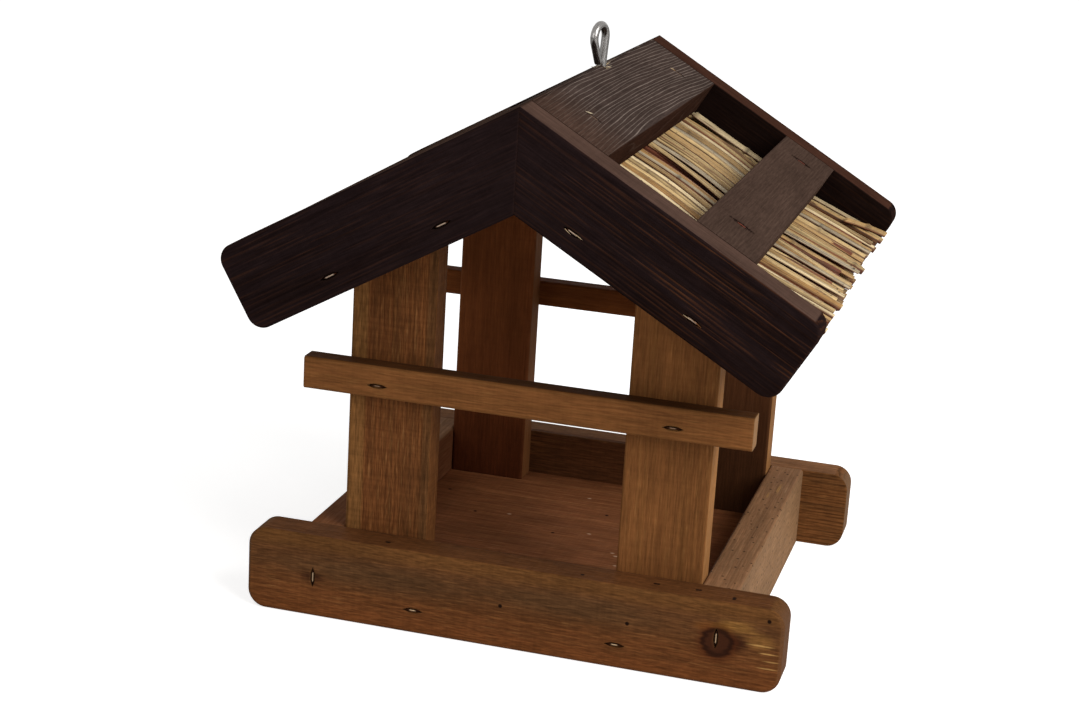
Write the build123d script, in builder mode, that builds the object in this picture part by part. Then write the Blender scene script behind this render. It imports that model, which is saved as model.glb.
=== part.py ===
from build123d import *
import os
from math import cos, radians, sin, tan

# Hanging bird feeder house of stained softwood laths, stapled together, with a reed roof.
# Millimetres. X runs along the front rail, Y from the front to the back, Z up.
# The origin is under the middle of the house, level with the rails' lower edges.

# Tray
rail_length = 292.0
rail_height = 46.0
rail_thickness = 20.0
rail_corner_radius = 10.0
tray_depth = 244.0  # over the outer faces of the front and back rails
tray_width = 237.0  # over the outer faces of the side rails
side_rail_thickness = 20.0
floor_thickness = 12.0
floor_lift = 7.0  # the floor's underside above the rails' lower edges

# Posts and perches
post_width = 46.0
post_thickness = 17.0
perch_length = 240.0
perch_thickness = 12.0
front_perch_height = 17.5
front_perch_level = 125.0  # its lower edge above the rails' lower edges
back_perch_height = 15.0
back_perch_level = 127.0

# Roof
roof_pitch = radians(30)
ridge_height = 292.0
roof_depth = 300.0  # over the outer faces of the gable boards
gable_length = 180.0  # along the upper edge, from the ridge to the eave
gable_width = 46.0
gable_thickness = 20.0
gable_corner_radius = 8.5
slat_thickness = 20.0
slat_end_gap = 1.0  # between a slat's end and the gable board
ridge_slat_width = 46.0
ridge_lap = 0.6  # how far the left ridge slat reaches past the middle of the ridge
mid_slat_start = 99.0  # down the slope, from the ridge to the slat's upper edge
mid_slat_width = 34.5
roof_board_thickness = 18.0
roof_board_seam = 92.0  # down the slope, from the ridge to the joint between the two boards
eave_setback = 3.0  # from the gable board's end to the roof board's lower edge

# Reed thatch, pressed flat under the slats and standing up between them
pressed_thatch = 8.0
stalk_width = 5.4
stalk_height = 4.0
stalk_shoulder = 2.4  # where its sides turn in to its rounded top
stalk_gap = 0.4
bay_crown = 2.5  # how far the lowest stalks stand up half-way between the slats
eave_crown = 6.0  # the same at the eave
stalk_spread = 2.5  # how much higher than those the highest stalks stand
thatch_top = 20.0  # down the slope, from the ridge to the stalks' upper ends
eave_ragged = 3.0  # how far the stalks' lower ends go past the eave or stop short of it
stalk_wander = 2.3  # radians from one stalk to the next in the waves that vary them

# Arrises taken off the edges that are handled
rail_arris = 1.6
lath_arris = 1.0

# Wire staples, each in the shallow dent that drives it below the surface
staple_crown = 9.0
staple_wire = 1.2
staple_leg = 40.0
perch_staple_leg = 25.0
slat_staple_leg = 32.0
staple_sink = 0.8
dent_length = 11.5  # between its pointed ends
dent_flat = 4.0  # length over which it keeps its width
dent_width = 2.6
left_end_staple_height = 22.5  # those into the ends of the side rails
right_end_staple_height = 26.0
right_end_staple_shift = 3.0  # outwards from the middle of the side rail's end
left_floor_staple = 51.5  # those into the floor's edge, from the middle
right_floor_staple = 59.0
perch_staple_rise = 6.5  # above the perch's lower edge
perch_staple_shift = 3.5  # outwards from the middle of the post
left_gable_staples = (62.5, 128.5)  # along the gable board, from the ridge
right_gable_staples = (55.0, 126.0)
gable_staple_shift = 1.5  # towards the roof, from the middle of the roof board's thickness
ridge_staple_margin = 1.0  # from a slat staple's inner leg to the plumb cut of the roof board
ridge_staple_step = 3.5  # how much further down the slope the back one of the two is
front_slat_staple = 42.0  # from the front gable board's inner face
back_slat_staple = 33.0  # from the back gable board's inner face
post_head_staple_shift = 14.0  # outwards from the post's middle

# Screw eye, bent from one wire and standing a little askew to the ridge
eye_back = 8.5  # how far behind the middle of the ridge its shank stands
eye_wire = 4.5
eye_flats = 12  # round enough at this size
eye_height = 24.0  # above the ridge
eye_loop_radius = 6.6  # to the middle of the wire
eye_loop_offset = 4.8  # of the loop's middle from the shank's axis
eye_stem_lean = radians(7.5)  # of the strand that rises from the shank
eye_tail_lean = radians(28.5)  # of the strand that comes back to it
eye_bend_radius = 6.0
eye_tail_gap = 0.6  # between the wire's end and the shank
eye_shank = 38.0
eye_point = 6.0
eye_turn = radians(77)  # of the loop's plane from the X axis
eye_clearance = 0.05  # round the shank in its hole

# Places that follow from the sizes
rail_mid = tray_depth / 2 - rail_thickness / 2
post_front = tray_depth / 2 - rail_thickness
post_mid_depth = post_front - post_thickness / 2
post_outer = tray_width / 2 - side_rail_thickness
post_mid = post_outer - post_width / 2
floor_top = floor_lift + floor_thickness
bay_width = roof_depth - 2 * gable_thickness
gable_mid = roof_depth / 2 - gable_thickness / 2
roof_board_top = slat_thickness + pressed_thatch
roof_board_bottom = roof_board_top + roof_board_thickness
mid_slat_end = mid_slat_start + mid_slat_width
stalk_pitch = stalk_width + stalk_gap
stalk_count = int(bay_width / stalk_pitch)
front, back = -1, 1
left, right = -1, 1

os.makedirs("parts", exist_ok=True)


def save(piece, name):
    piece.part.label = name
    export_step(piece.part, f"parts/{name}.step")


def slope(side, depth=0.0):
    """Plane on one side's roof top: X down the slope, Y out of the roof, at a depth along the house."""
    return Plane(
        origin=(0, depth, ridge_height),
        x_dir=(side * cos(roof_pitch), 0, -sin(roof_pitch)),
        z_dir=(0, -side, 0),
    )


def plumb_run(below, lap=0.0):
    """Run down the slope at which a plumb cut meets a plane that far below the roof top."""
    return (lap + below * sin(roof_pitch)) / cos(roof_pitch)


def roof_underside(x):
    """Height of the roof boards' underside at a distance from the middle."""
    return ridge_height - roof_board_bottom / cos(roof_pitch) - x * tan(roof_pitch)


def seat(point, crown, out):
    """Plane of a staple: X along its crown and Y out of the wood."""
    return Plane(origin=point, x_dir=crown, z_dir=Vector(crown).cross(Vector(out)))


def roof_seat(side, run, below, depth):
    """Seat on a plane that far below the roof top, with the crown down the slope."""
    plane = slope(side)
    point = plane.from_local_coords((run, -below, -side * depth))
    return seat(point, plane.x_dir, plane.y_dir)


def drive_staples(seats, leg):
    with BuildPart() as staples:
        for place in seats:
            with BuildSketch(place):
                with Locations((0, -staple_sink)):
                    Rectangle(staple_crown, leg, align=(Align.CENTER, Align.MAX))
                with Locations((0, -staple_sink - staple_wire)):
                    inside = staple_crown - 2 * staple_wire
                    Rectangle(inside, leg, align=(Align.CENTER, Align.MAX), mode=Mode.SUBTRACT)
            extrude(amount=staple_wire / 2, both=True)
    return staples


def cut_dents(seats):
    """Shallow dents in the piece being built, one over each staple's crown, pointed where the crown was struck."""
    for place in seats:
        with BuildSketch(Plane(origin=place.origin, x_dir=place.x_dir, z_dir=place.y_dir)) as outline:
            with BuildLine():
                Polyline(
                    (-dent_length / 2, 0),
                    (-dent_flat / 2, dent_width / 2),
                    (dent_flat / 2, dent_width / 2),
                    (dent_length / 2, 0),
                    (dent_flat / 2, -dent_width / 2),
                    (-dent_flat / 2, -dent_width / 2),
                    close=True,
                )
            make_face()
        extrude(outline.sketch, amount=-staple_sink, mode=Mode.SUBTRACT)


def cut_eye_hole():
    """Pilot hole for the screw eye in the piece being built."""
    with Locations((0, eye_back, ridge_height - eye_shank - eye_point)):
        Cylinder(
            eye_wire / 2 + eye_clearance,
            eye_shank + eye_point + eye_wire,
            align=(Align.CENTER, Align.CENTER, Align.MIN),
            mode=Mode.SUBTRACT,
        )


# Seats of the staples

def rail_seats(end):
    """On the outer face of a long rail: upright ones at its ends, level ones along the floor's edge."""
    face = end * tray_depth / 2
    out = (0, end, 0)
    side_rail_mid = tray_width / 2 - side_rail_thickness / 2
    floor_mid = floor_lift + floor_thickness / 2
    return [
        seat((-side_rail_mid, face, left_end_staple_height), (0, 0, 1), out),
        seat((side_rail_mid + right_end_staple_shift, face, right_end_staple_height), (0, 0, 1), out),
        seat((-left_floor_staple, face, floor_mid), (1, 0, 0), out),
        seat((right_floor_staple, face, floor_mid), (1, 0, 0), out),
    ]


def perch_seats(end, level):
    face = end * (post_front + perch_thickness)
    height = level + perch_staple_rise
    reach = post_mid + perch_staple_shift
    return [seat((side * reach, face, height), (1, 0, 0), (0, end, 0)) for side in (left, right)]


def gable_seats(end, side):
    """On the outer face of a gable board, in line with the roof boards behind it."""
    runs = right_gable_staples if side == right else left_gable_staples
    below = (roof_board_top + roof_board_bottom) / 2 - gable_staple_shift
    plane = slope(side)
    places = [plane.from_local_coords((run, -below, -side * end * roof_depth / 2)) for run in runs]
    return [seat(place, plane.x_dir, (0, end, 0)) for place in places]


def slat_seats(side, front_run, back_run):
    return [
        roof_seat(side, front_run, 0, front_slat_staple - bay_width / 2),
        roof_seat(side, back_run, 0, bay_width / 2 - back_slat_staple),
    ]


def post_foot_seat(end, side):
    """Under the floor, beneath the middle of the post."""
    return seat((side * post_mid, end * post_mid_depth, floor_lift), (1, 0, 0), (0, 0, -1))


def post_head_seat(end, side):
    """On top of the lower roof board, above the post."""
    run = plumb_run(roof_board_bottom, post_mid + post_head_staple_shift)
    return roof_seat(side, run, roof_board_top, end * post_mid_depth)


front_rail_seats = rail_seats(front)
back_rail_seats = rail_seats(back)
front_perch_seats = perch_seats(front, front_perch_level)
back_perch_seats = perch_seats(back, back_perch_level)
ridge_staple_run = plumb_run(staple_sink + slat_staple_leg, ridge_staple_margin) + staple_crown / 2
mid_staple_run = mid_slat_start + mid_slat_width / 2
ridge_runs = (ridge_staple_run, ridge_staple_run + ridge_staple_step)
mid_runs = (mid_staple_run, mid_staple_run)
corners = [(end, side) for end in (front, back) for side in (left, right)]

rail_staples = drive_staples(front_rail_seats + back_rail_seats, staple_leg)
perch_staples = drive_staples(front_perch_seats + back_perch_seats, perch_staple_leg)
gable_staples = drive_staples([s for end, side in corners for s in gable_seats(end, side)], staple_leg)
slat_places = [s for side in (left, right) for runs in (ridge_runs, mid_runs) for s in slat_seats(side, *runs)]
slat_staples = drive_staples(slat_places, slat_staple_leg)
foot_places = [post_foot_seat(end, side) for end, side in corners]
post_foot_staples = drive_staples(foot_places, staple_leg)
head_places = [post_head_seat(end, side) for end, side in corners]
post_head_staples = drive_staples(head_places, staple_leg)

save(rail_staples, "rail_staples")
save(perch_staples, "perch_staples")
save(gable_staples, "gable_staples")
save(slat_staples, "slat_staples")
save(post_foot_staples, "post_foot_staples")
save(post_head_staples, "post_head_staples")


# Tray

with BuildPart() as floor_board:
    with BuildSketch(Plane.XY.offset(floor_lift)):
        Rectangle(2 * post_outer, 2 * post_front)
    extrude(amount=floor_thickness)
    cut_dents(foot_places)
    add(post_foot_staples.part, mode=Mode.SUBTRACT)
    add(rail_staples.part, mode=Mode.SUBTRACT)
save(floor_board, "floor_board")


def build_rail(end, seats):
    """Long rail on edge: corners rounded in outline, arrises taken off its outer face."""
    with BuildPart() as rail:
        middle = Plane(origin=(0, end * rail_mid, rail_height / 2), x_dir=(1, 0, 0), z_dir=(0, -1, 0))
        with BuildSketch(middle):
            RectangleRounded(rail_length, rail_height, rail_corner_radius)
        extrude(amount=rail_thickness / 2, both=True)
        outer_face = rail.faces().sort_by(Axis.Y)[0 if end == front else -1]
        chamfer(outer_face.edges(), length=rail_arris)
        cut_dents(seats)
        add(rail_staples.part, mode=Mode.SUBTRACT)
    return rail


save(build_rail(front, front_rail_seats), "front_rail")
save(build_rail(back, back_rail_seats), "back_rail")


def build_side_rail(side):
    """Lath on edge between the long rails, with the arrises taken off its upper edges."""
    with BuildPart() as rail:
        with BuildSketch(Plane.XY):
            with Locations((side * (tray_width / 2 - side_rail_thickness / 2), 0)):
                Rectangle(side_rail_thickness, 2 * post_front)
        extrude(amount=rail_height)
        chamfer(rail.edges().filter_by(Axis.Y).group_by(Axis.Z)[-1], length=lath_arris)
        add(rail_staples.part, mode=Mode.SUBTRACT)
    return rail


save(build_side_rail(left), "left_side_rail")
save(build_side_rail(right), "right_side_rail")


# Posts and perches

def build_post(end, side):
    """Flat upright on the floor, its head cut to the roof's slope."""
    with BuildPart() as post:
        inner = post_outer - post_width
        middle = Plane(origin=(0, end * post_mid_depth, 0), x_dir=(side, 0, 0), z_dir=(0, -side, 0))
        with BuildSketch(middle):
            with BuildLine():
                Polyline(
                    (inner, floor_top),
                    (post_outer, floor_top),
                    (post_outer, roof_underside(post_outer)),
                    (inner, roof_underside(inner)),
                    close=True,
                )
            make_face()
        extrude(amount=post_thickness / 2, both=True)
        chamfer(post.edges().filter_by(Axis.Z), length=lath_arris)
        add(perch_staples.part, mode=Mode.SUBTRACT)
        add(post_foot_staples.part, mode=Mode.SUBTRACT)
        add(post_head_staples.part, mode=Mode.SUBTRACT)
    return post


save(build_post(front, left), "front_left_post")
save(build_post(front, right), "front_right_post")
save(build_post(back, left), "back_left_post")
save(build_post(back, right), "back_right_post")


def build_perch(end, height, level, seats):
    """Square-ended bar across the outer faces of two posts."""
    with BuildPart() as perch:
        with BuildSketch(Plane.XY.offset(level)):
            with Locations((0, end * (post_front + perch_thickness / 2))):
                Rectangle(perch_length, perch_thickness)
        extrude(amount=height)
        chamfer(perch.edges().filter_by(Axis.X), length=lath_arris)
        cut_dents(seats)
        add(perch_staples.part, mode=Mode.SUBTRACT)
    return perch


save(build_perch(front, front_perch_height, front_perch_level, front_perch_seats), "front_perch")
save(build_perch(back, back_perch_height, back_perch_level, back_perch_seats), "back_perch")


# Roof

def build_gable_board(end, side):
    """Sloping board with a plumb mitre at the ridge and rounded corners at the eave."""
    with BuildPart() as board:
        with BuildSketch(slope(side, end * gable_mid)) as outline:
            with BuildLine():
                Polyline(
                    (0, 0),
                    (gable_length, 0),
                    (gable_length, -gable_width),
                    (plumb_run(gable_width), -gable_width),
                    close=True,
                )
            make_face()
            fillet(outline.vertices().group_by(Axis.X)[-1], radius=gable_corner_radius)
        extrude(amount=gable_thickness / 2, both=True)
        outer_face = board.faces().sort_by(Axis.Y)[0 if end == front else -1]
        mitre = outer_face.edges().sort_by(lambda edge: abs(edge.center().X))[0]
        chamfer([edge for edge in outer_face.edges() if edge != mitre], length=lath_arris)
        cut_dents(gable_seats(end, side))
        add(gable_staples.part, mode=Mode.SUBTRACT)
    return board


save(build_gable_board(front, left), "front_left_gable_board")
save(build_gable_board(front, right), "front_right_gable_board")
save(build_gable_board(back, left), "back_left_gable_board")
save(build_gable_board(back, right), "back_right_gable_board")


def build_roof_board(side, upper):
    """Board under the reed: the upper one is cut plumb at the ridge, the lower one lies on the posts."""
    with BuildPart() as board:
        if upper:
            top_starts, bottom_starts = plumb_run(roof_board_top), plumb_run(roof_board_bottom)
            ends = roof_board_seam
        else:
            top_starts = bottom_starts = roof_board_seam
            ends = gable_length - eave_setback
        with BuildSketch(slope(side)):
            with BuildLine():
                Polyline(
                    (top_starts, -roof_board_top),
                    (ends, -roof_board_top),
                    (ends, -roof_board_bottom),
                    (bottom_starts, -roof_board_bottom),
                    close=True,
                )
            make_face()
        extrude(amount=bay_width / 2, both=True)
        if upper:
            cut_eye_hole()
        else:
            cut_dents([place for place, corner in zip(head_places, corners) if corner[1] == side])
            add(post_head_staples.part, mode=Mode.SUBTRACT)
        add(gable_staples.part, mode=Mode.SUBTRACT)
        add(slat_staples.part, mode=Mode.SUBTRACT)
    return board


save(build_roof_board(left, True), "left_upper_roof_board")
save(build_roof_board(left, False), "left_lower_roof_board")
save(build_roof_board(right, True), "right_upper_roof_board")
save(build_roof_board(right, False), "right_lower_roof_board")


def build_slat(side, ridge):
    """Lath over the reed, flush with the gable boards' upper edges."""
    with BuildPart() as slat:
        if ridge:
            top_starts = plumb_run(0, side * ridge_lap)
            bottom_starts = plumb_run(slat_thickness, side * ridge_lap)
            ends, staple_runs = ridge_slat_width, ridge_runs
        else:
            top_starts = bottom_starts = mid_slat_start
            ends, staple_runs = mid_slat_end, mid_runs
        with BuildSketch(slope(side)):
            with BuildLine():
                Polyline(
                    (top_starts, 0),
                    (ends, 0),
                    (ends, -slat_thickness),
                    (bottom_starts, -slat_thickness),
                    close=True,
                )
            make_face()
        extrude(amount=bay_width / 2 - slat_end_gap, both=True)
        if ridge:
            cut_eye_hole()
        cut_dents(slat_seats(side, *staple_runs))
        add(slat_staples.part, mode=Mode.SUBTRACT)
    return slat


save(build_slat(left, True), "left_ridge_slat")
save(build_slat(right, True), "right_ridge_slat")
save(build_slat(left, False), "left_mid_slat")
save(build_slat(right, False), "right_mid_slat")


# Thatch

def reed_line(rise, reach):
    """Runs down the slope with the height of the reed above its pressed height at each."""
    mid_bay = (ridge_slat_width + mid_slat_start) / 2
    eave_share = 1 + reach / (gable_length - mid_slat_end)
    return [
        (thatch_top, 0),
        (ridge_slat_width, 0),
        (mid_bay, bay_crown + rise),
        (mid_slat_start, 0),
        (mid_slat_end, 0),
        (gable_length + reach, (eave_crown + rise) * eave_share),
    ]


def build_thatch_bed(side):
    """Lower layers of reed, pressed into one mat, following the lowest of the stalks above it."""
    with BuildPart() as bed:
        surface = -slat_thickness - stalk_height
        upper = [(run, surface + lift) for run, lift in reed_line(0, -eave_ragged)]
        lower_run = gable_length - eave_ragged
        with BuildSketch(slope(side)):
            with BuildLine():
                Polyline(*upper, (lower_run, -roof_board_top), (thatch_top, -roof_board_top), close=True)
            make_face()
        extrude(amount=bay_width / 2 - stalk_gap, both=True)
        add(slat_staples.part, mode=Mode.SUBTRACT)
    return bed


def build_thatch(side):
    """Top layer of stalks side by side, flat underneath, each rising its own way between the slats."""
    with BuildPart() as thatch:
        plane = slope(side)
        middle = -slat_thickness - stalk_height / 2
        stalks = []
        for index in range(stalk_count):
            across = (index - (stalk_count - 1) / 2) * stalk_pitch
            rise = stalk_spread * (1 + sin(stalk_wander * index)) / 2
            reach = eave_ragged * cos(stalk_wander * index * index)
            for run, lift in reed_line(rise, reach):
                centre = plane.from_local_coords((run, middle + lift, across))
                with BuildSketch(Plane(origin=centre, x_dir=-plane.z_dir, z_dir=plane.x_dir)):
                    Polygon(
                        (-stalk_width / 2, -stalk_height / 2),
                        (stalk_width / 2, -stalk_height / 2),
                        (stalk_width / 2, stalk_shoulder - stalk_height / 2),
                        (0, stalk_height / 2),
                        (-stalk_width / 2, stalk_shoulder - stalk_height / 2),
                        align=None,
                    )
            stalks.append(loft(ruled=True, mode=Mode.PRIVATE))
        add(stalks)
        add(slat_staples.part, mode=Mode.SUBTRACT)
    return thatch


save(build_thatch_bed(left), "left_thatch_bed")
save(build_thatch_bed(right), "right_thatch_bed")
save(build_thatch(left), "left_thatch")
save(build_thatch(right), "right_thatch")


# Screw eye

with BuildPart() as screw_eye:
    eye_plane = Plane(
        origin=(0, eye_back, ridge_height),
        x_dir=(cos(eye_turn), sin(eye_turn), 0),
        z_dir=(sin(eye_turn), -cos(eye_turn), 0),
    )
    loop_middle = eye_height - eye_wire / 2 - eye_loop_radius
    stem_shift = eye_loop_radius * cos(eye_stem_lean) - eye_loop_offset
    stem_top = loop_middle - eye_loop_radius * sin(eye_stem_lean)
    tail_shift = eye_loop_radius * cos(eye_tail_lean) + eye_loop_offset
    tail_top = loop_middle - eye_loop_radius * sin(eye_tail_lean)
    tail_foot = eye_wire + eye_tail_gap
    tail_end = tail_top - (tail_shift - tail_foot) / tan(eye_tail_lean)
    bend_middle = stem_top - stem_shift / tan(eye_stem_lean)
    bend_start = bend_middle - eye_bend_radius * tan(eye_stem_lean / 2)
    bend_end = (
        eye_bend_radius * (1 - cos(eye_stem_lean)),
        bend_start + eye_bend_radius * sin(eye_stem_lean),
    )
    half_bend = (
        eye_bend_radius * (1 - cos(eye_stem_lean / 2)),
        bend_start + eye_bend_radius * sin(eye_stem_lean / 2),
    )
    with BuildLine(eye_plane) as wire_line:
        Line((0, -eye_shank), (0, bend_start))
        ThreePointArc((0, bend_start), half_bend, bend_end)
        Line(bend_end, (stem_shift, stem_top))
        ThreePointArc(
            (stem_shift, stem_top),
            (-eye_loop_offset, loop_middle + eye_loop_radius),
            (-tail_shift, tail_top),
        )
        Line((-tail_shift, tail_top), (-tail_foot, tail_end))
    with BuildSketch(Plane((0, eye_back, ridge_height - eye_shank))):
        RegularPolygon(eye_wire / 2, eye_flats)
    sweep(path=wire_line.wire())
    with Locations((0, eye_back, ridge_height - eye_shank)):
        Cone(eye_wire / 10, eye_wire / 2, eye_point, align=(Align.CENTER, Align.CENTER, Align.MAX))
save(screw_eye, "screw_eye")
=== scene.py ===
import random
from math import cos, pi, radians, sin, tan

import bmesh
import bpy
from mathutils import Matrix, Vector


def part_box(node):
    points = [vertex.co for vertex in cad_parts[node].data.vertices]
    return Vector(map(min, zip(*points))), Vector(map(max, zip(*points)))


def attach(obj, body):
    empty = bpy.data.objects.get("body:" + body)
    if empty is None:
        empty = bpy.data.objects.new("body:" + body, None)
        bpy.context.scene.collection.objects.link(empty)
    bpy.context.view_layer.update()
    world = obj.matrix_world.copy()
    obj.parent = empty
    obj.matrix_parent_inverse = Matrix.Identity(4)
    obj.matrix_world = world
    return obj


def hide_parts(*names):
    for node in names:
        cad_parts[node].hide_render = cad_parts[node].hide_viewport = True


# A hanging bird feeder house of stained pine laths with a roof of dried reed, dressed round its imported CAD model.
# Sizes are in millimetres, which MM turns to metres. X runs along the front, Y to the back, Z up.

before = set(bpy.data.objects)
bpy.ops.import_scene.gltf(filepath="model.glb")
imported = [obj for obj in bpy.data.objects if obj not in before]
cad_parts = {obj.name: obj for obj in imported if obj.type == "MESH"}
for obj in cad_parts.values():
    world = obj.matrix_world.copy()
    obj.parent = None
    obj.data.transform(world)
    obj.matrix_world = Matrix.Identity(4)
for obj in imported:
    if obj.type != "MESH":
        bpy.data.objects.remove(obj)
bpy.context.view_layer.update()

MM = 0.001
X, Y, Z = Vector((1, 0, 0)), Vector((0, 1, 0)), Vector((0, 0, 1))
LEFT, RIGHT = -1, 1
FRONT, BACK = -1, 1

# Sizes that the dressed pieces share with the CAD model
ROOF_PITCH = radians(30)
RIDGE_HEIGHT = 292.0
BAY_HALF = 130.0  # from the middle to a gable board's inner face
RIDGE_SLAT_END = 46.0  # runs down the slope, from the ridge
MID_SLAT_START = 99.0
MID_SLAT_END = 133.5
EAVE = 180.0
THATCH_TOP = 20.0
SLAT_UNDER = -20.0  # heights over the roof's upper face
BOARD_TOP = -28.0
GABLE_MIDDLE, GABLE_STAPLE = -23.0, -35.5
GABLE_THICK = 20.0
GABLE_STAPLE_RUNS = {LEFT: (62.5, 128.5), RIGHT: (55.0, 126.0)}
RIDGE_STAPLES = ((24.59, -88), (28.09, 97))  # run down the slope and depth
MID_STAPLES = ((116.25, -88), (116.25, 97))


def down_slope(side):
    return Vector((side * cos(ROOF_PITCH), 0, -sin(ROOF_PITCH)))


def out_of_roof(side):
    return Vector((side * sin(ROOF_PITCH), 0, cos(ROOF_PITCH)))


def on_slope(side, run, up, y):
    """A point by its run down one side's slope, its height over the roof's upper face and its depth."""
    return Vector((0, y, RIDGE_HEIGHT)) * MM + (down_slope(side) * run + out_of_roof(side) * up) * MM


# Materials

def linear(hex_colour):
    """An sRGB hex colour as linear RGBA."""
    parts = [int(hex_colour[i:i + 2], 16) / 255 for i in (1, 3, 5)]
    return [c / 12.92 if c <= 0.04045 else ((c + 0.055) / 1.055) ** 2.4 for c in parts] + [1.0]


def feed(tree, node, sockets):
    """Gives each of a node's sockets its value, or a link from another node's socket or first output."""
    for key, value in sockets.items():
        if isinstance(value, bpy.types.Node):
            value = value.outputs[0]
        if isinstance(value, bpy.types.NodeSocket):
            tree.links.new(value, node.inputs[key])
        else:
            node.inputs[key].default_value = value


def add(tree, kind, settings, sockets):
    """Adds a node with its settings and feeds its sockets."""
    node = tree.nodes.new("ShaderNode" + kind)
    for name, value in settings.items():
        setattr(node, name, value)
    feed(tree, node, sockets)
    return node


SMOOTH = {"interpolation_type": "SMOOTHSTEP"}  # for a map range with soft ends


def new_material(name):
    material = bpy.data.materials.new(name)
    material.use_nodes = True
    tree = material.node_tree
    return material, tree, tree.nodes["Principled BSDF"]


# Softwood laths, sawn and planed, with a water-thin stain: the soft early wood drinks it and goes dark, the hard late
# wood sheds it, so each growth ring shows as a paler line. The open fibres scatter nearly all of the shine. Handled
# edges are rubbed paler, cut ends are grey and open. The saw left faint marks across the lath.
BROWN_STAIN = dict(
    early="#5e371c", late="#80522b", stripe="#46301b", streak="#35200f", fleck="#8a6138", worn="#82592f",
    end="#6d533c", deep="#120905", line_start=0.35, lines=0.45, broken=0.6, spread=2.5, stripes=0.55, streaks=0.5,
    flecks=0.45, fibre=0.26, dapple=0.24, saw=0.05, rubbed_and_glint=0.22, shine=0.03, roughness=0.68,
)
WARM_STAIN = BROWN_STAIN | dict(
    early="#6d4424", late="#845830", stripe="#61401f", streak="#55331a", fleck="#855c33", worn="#96703f", stripes=0.3,
    streaks=0.3, lines=0.3, fibre=0.2, dapple=0.14, saw=0.04,
)
RED_STAIN = BROWN_STAIN | dict(
    early="#5f341a", late="#6f3f20", stripe="#542c16", streak="#47240f", fleck="#6d4022", worn="#8a5c35", lines=0.3,
    stripes=0.35, streaks=0.3, flecks=0.25, fibre=0.16, dapple=0.1, saw=0.03,
)
FLOOR_STAIN = BROWN_STAIN | dict(
    early="#7d4c2e", late="#93613c", stripe="#6d4126", streak="#5f371e", fleck="#9a7050", lines=0.4, stripes=0.4,
    dapple=0.16,
)
SAWN_STAIN = BROWN_STAIN | dict(
    early="#825d40", late="#967251", stripe="#74523a", streak="#60432c", fleck="#987858", worn="#9c7c5c", lines=0.4,
    fibre=0.18, dapple=0.1,
)
DARK_STAIN = BROWN_STAIN | dict(
    early="#1d1414", late="#6c4022", stripe="#150c0a", streak="#0e0706", fleck="#2c1812", worn="#3a2720",
    end="#281b17", deep="#060303", line_start=0.3, lines=0.36, broken=1.0, spread=1.2, stripes=0.6, streaks=0.5,
    flecks=0.12, dapple=0.1, saw=0.04, rubbed_and_glint=0.25, shine=0.0, roughness=0.66,
)
SLAT_STAIN = BROWN_STAIN | dict(
    early="#433732", late="#938479", stripe="#382c27", streak="#302520", fleck="#55473f", worn="#54423a",
    end="#33241d", deep="#0a0504", line_start=0.72, lines=0.7, broken=0.35, spread=0.8, stripes=0.3, streaks=0.3,
    flecks=0.2, fibre=0.2, dapple=0.16, saw=0.03, rubbed_and_glint=0.15, shine=0.0, roughness=0.7,
)

EDGE_ROUNDING = 1.6  # how far the rubbed edges reach in from a corner
DENT_SHADE_REACH = 2.2  # how far the painted shade reaches out of a staple's dent
RING_TAPER = 0.045  # how slowly the shells of the growth rings narrow along the lath
BLOTCHES = 0.14
KNOT_HALO, KNOT_HEART, KNOT_BARK = "#4a2310", "#3a1f12", "#1e0e08"
KNOT_LONGER, KNOT_RAGGED = 0.9, 0.9
RELIEF = 0.4  # how deep the weathered fibres stand

# Noises of the wood: length along the lath, width across it, detail. Real fibres are hundredths of a millimetre wide
# and saw marks a few tenths, so fibre, dash, dapple and saw are drawn as coarse as they need to show.
GRAIN = {
    "wander": (140, 18, 2),
    "stripe": (420, 8, 2),
    "streak": (130, 3.2, 3),
    "dash": (14, 1.0, 2),
    "break": (46, 2.4, 2),
    "fibre": (20, 0.9, 3),
    "dapple": (6, 0.8, 2),
    "blotch": (50, 22, 2),
    "saw": (1.8, 34, 1),
}


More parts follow.
